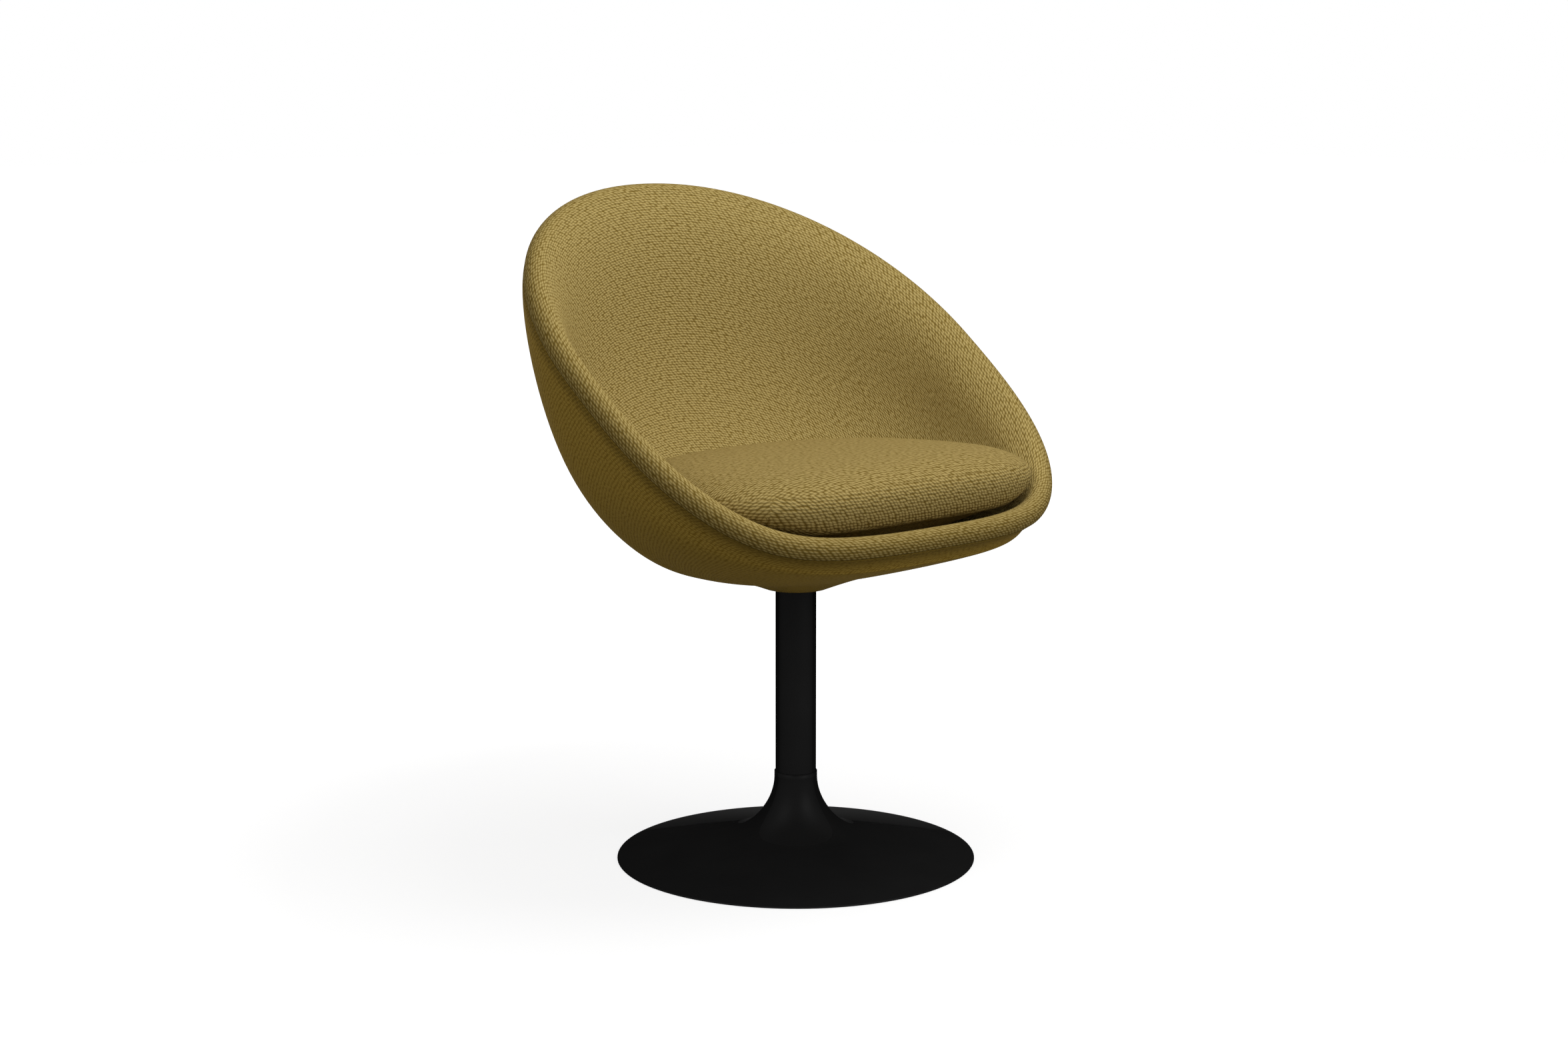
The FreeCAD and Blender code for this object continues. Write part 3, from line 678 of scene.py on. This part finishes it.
# The cushion: a loose pad of foam in a boxed case of the same boucle. It starts from the foam's own
# shape and is blown up a little as cloth, so its crown is full and its edge is drawn in.

FOAM_MERGE_DISTANCE = 1e-5
FOAM_JOIN_TURN = math.radians(60)
CUSHION_VOXEL = 5.0
CUSHION_CAP = 2.6
CUSHION_FRAMES = 20
CUSHION_PRESSURE = 4.0
# Its outline; a pair holds the front half's value and the back half's
CUSHION_CENTRE = -48.0
CUSHION_HALF_WIDTH = 243.0
CUSHION_LENGTH = (180.0, 224.0)
CUSHION_SQUARENESS = (3.4, 2.2)
CUSHION_FRONT_START = -0.6
# The front's underside climbs towards the edge, and the edge is drawn in below its seam
CUSHION_FLAT_SHARE = 0.55
CUSHION_EDGE_SHARE = 0.9
CUSHION_EDGE_RISE = 30.0
CUSHION_DRAWN_FROM = 450.0
CUSHION_DRAWN_DEPTH = 28.0
CUSHION_DRAWN_IN = 0.05
# It is pulled out a little to fill the tub: across, front to back, and more at the front corners
CUSHION_EASE = (1.015, 1.005)
CUSHION_CORNER_EASE = 0.022
# A face that lies more level than this takes its weave from above, and any other from the side
CUSHION_LEVEL = 0.72
foam_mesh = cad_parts["cushion_foam"].data.copy()
pad = bmesh.new()
pad.from_mesh(foam_mesh)
bmesh.ops.remove_doubles(pad, verts=pad.verts, dist=FOAM_MERGE_DISTANCE)
bmesh.ops.join_triangles(pad, faces=pad.faces, angle_face_threshold=FOAM_JOIN_TURN,
                         angle_shape_threshold=FOAM_JOIN_TURN)
foam_mesh.materials.clear()
pad.to_mesh(foam_mesh)
pad.free()
foam_mesh.name = "seat_cushion"
cushion = new_object("seat_cushion", foam_mesh)


def apply_modifiers(piece):
    """Makes the piece's modifiers part of its mesh."""
    graph = bpy.context.evaluated_depsgraph_get()
    mesh = bpy.data.meshes.new_from_object(piece.evaluated_get(graph))
    piece.modifiers.clear()
    piece.data = mesh


rounded = cushion.modifiers.new("rounded", "SUBSURF")
rounded.levels = 2
rounded.render_levels = 2
remesh = cushion.modifiers.new("even", "REMESH")
remesh.mode = "VOXEL"
remesh.voxel_size = CUSHION_VOXEL * MM
apply_modifiers(cushion)
before = [vert.co.copy() for vert in cushion.data.vertices]
blown = cushion.modifiers.new("blown", "CLOTH")
blown.settings.use_pressure = True
blown.settings.uniform_pressure_force = CUSHION_PRESSURE
blown.settings.effector_weights.gravity = 0
scene = bpy.context.scene
for step in range(1, CUSHION_FRAMES + 1):
    scene.frame_set(step)
apply_modifiers(cushion)
scene.frame_set(1)
for vert, start in zip(cushion.data.vertices, before):
    travel = vert.co - start
    if travel.length > CUSHION_CAP * MM:
        vert.co = start + travel.normalized() * CUSHION_CAP * MM


def held(value):
    """The value kept between 0 and 1."""
    return min(max(value, 0), 1)


def outline_share(x, y):
    """How far out a point of the cushion lies, as a share of its outline, and how far forward."""
    forward = CUSHION_CENTRE - y
    end = 0 if forward > 0 else 1
    length, power = CUSHION_LENGTH[end], CUSHION_SQUARENESS[end]
    share = (abs(x / CUSHION_HALF_WIDTH) ** power + abs(forward / length) ** power) ** (1 / power)
    return share, held(forward / length - CUSHION_FRONT_START)


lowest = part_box("cushion_cover")[0].z
for vert in cushion.data.vertices:
    share, forward = outline_share(vert.co.x / MM, vert.co.y / MM)
    climb = held((share - CUSHION_FLAT_SHARE) / (CUSHION_EDGE_SHARE - CUSHION_FLAT_SHARE))
    drawn = held((CUSHION_DRAWN_FROM - vert.co.z / MM) / CUSHION_DRAWN_DEPTH)
    corner = min(abs(vert.co.x) / MM / CUSHION_HALF_WIDTH, 1) * forward
    inwards = (1 - CUSHION_DRAWN_IN * forward * drawn ** 2) * (1 + CUSHION_CORNER_EASE * corner)
    vert.co.x *= inwards * CUSHION_EASE[0]
    vert.co.y = CUSHION_CENTRE * MM + (vert.co.y - CUSHION_CENTRE * MM) * inwards * CUSHION_EASE[1]
    vert.co.z = max(vert.co.z, lowest + CUSHION_EDGE_RISE * MM * forward * climb)
finer = cushion.modifiers.new("finer", "SUBSURF")
finer.levels = 1
finer.render_levels = 1
apply_modifiers(cushion)
cushion.data.shade_smooth()
weave = cushion.data.uv_layers.new(name="weave")
for face in cushion.data.polygons:
    level = abs(face.normal.z) > CUSHION_LEVEL
    sideways = abs(face.normal.x) > abs(face.normal.y)
    for corner in face.loop_indices:
        x, y, z = cushion.data.vertices[cushion.data.loops[corner].vertex_index].co
        weave.data[corner].uv = (x, y) if level else (y if sideways else x, z)
# Boucle on the cushion: the same loops, rounder and taller, because they stand up on the soft foam
# Its colours are a little darker than the tub's, as painted shade that tones down its well-lit top.
cushion_boucle = boucle("olive_boucle_on_cushion", colour="A08B4F", shade="644F1C", glint="B5A06A",
                        loop_mm=(5.2, 3.6), depth_mm=1.0)
cushion.data.materials.clear()
cushion.data.materials.append(cushion_boucle)
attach(cushion, "cushion")
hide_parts("cushion_cover", "cushion_foam")

# Coil zip: olive tape and coil along the back of the case
zip_plastic = grained("olive_coil_zip", "6E5C2C", "7C6A38", grain_mm=0.6, bump_mm=0.05, inputs={
    "Roughness": 0.5, "IOR": 1.49})
dress("cushion_zip", zip_plastic)
